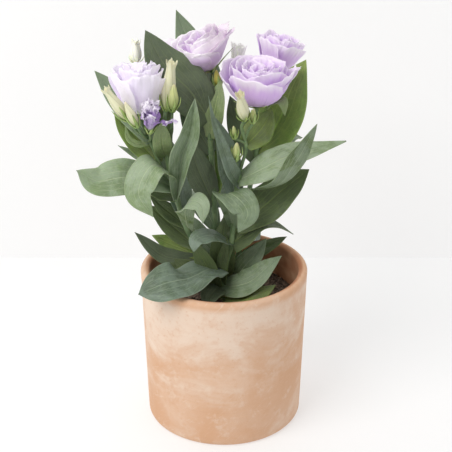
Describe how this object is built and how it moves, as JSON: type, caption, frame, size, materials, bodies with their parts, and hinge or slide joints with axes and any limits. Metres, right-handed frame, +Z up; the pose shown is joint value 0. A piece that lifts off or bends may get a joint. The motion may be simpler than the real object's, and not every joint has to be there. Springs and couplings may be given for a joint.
{
  "type": "potted lisianthus",
  "caption": "Lisianthus with grey-green clasping leaves, pale lilac ruffled blooms and cream buds, growing in a straight-sided terracotta pot of soil.",
  "frame": {"origin": "centre of the pot's flat underside, where it stands on a table", "axes": "+Z up the plant, the picture's camera looks along +Y from the front, +X to the right in the picture"},
  "size_m": [0.2282, 0.1711, 0.3601],
  "materials": {
    "terracotta": "matte, pale mineral bloom on the outside",
    "soil": "rough, crumbly, nearly black",
    "leaf_green": "waxy grey-green, low sheen",
    "bud_cream": "soft satin, cream to yellow-green",
    "petal_lilac": "thin silky petal, lilac with white rims",
    "petal_pale": "thin silky petal, nearly white",
    "petal_wilted": "crumpled dark purple with pale edges"
  },
  "bodies": {
    "root": {"pot": "terracotta", "soil": "soil", "stem_left": "leaf_green", "stem_front": "leaf_green", "stem_back": "leaf_green", "stem_right": "leaf_green", "stem_low": "leaf_green", "bud_tall": "bud_cream", "bud_beside": "bud_cream", "bud_left": "bud_cream", "bud_left_small": "bud_cream", "bud_centre": "bud_cream", "bud_centre_small": "bud_cream", "bud_green": "bud_cream", "bud_thin": "bud_cream", "bud_yellow": "bud_cream", "bud_behind": "bud_cream", "bloom_left": "petal_pale", "bloom_top": "petal_lilac", "bloom_front": "petal_lilac", "bloom_right": "petal_lilac", "bloom_small": "petal_pale", "bloom_wilted": "petal_wilted"}
  },
  "joints": []
}
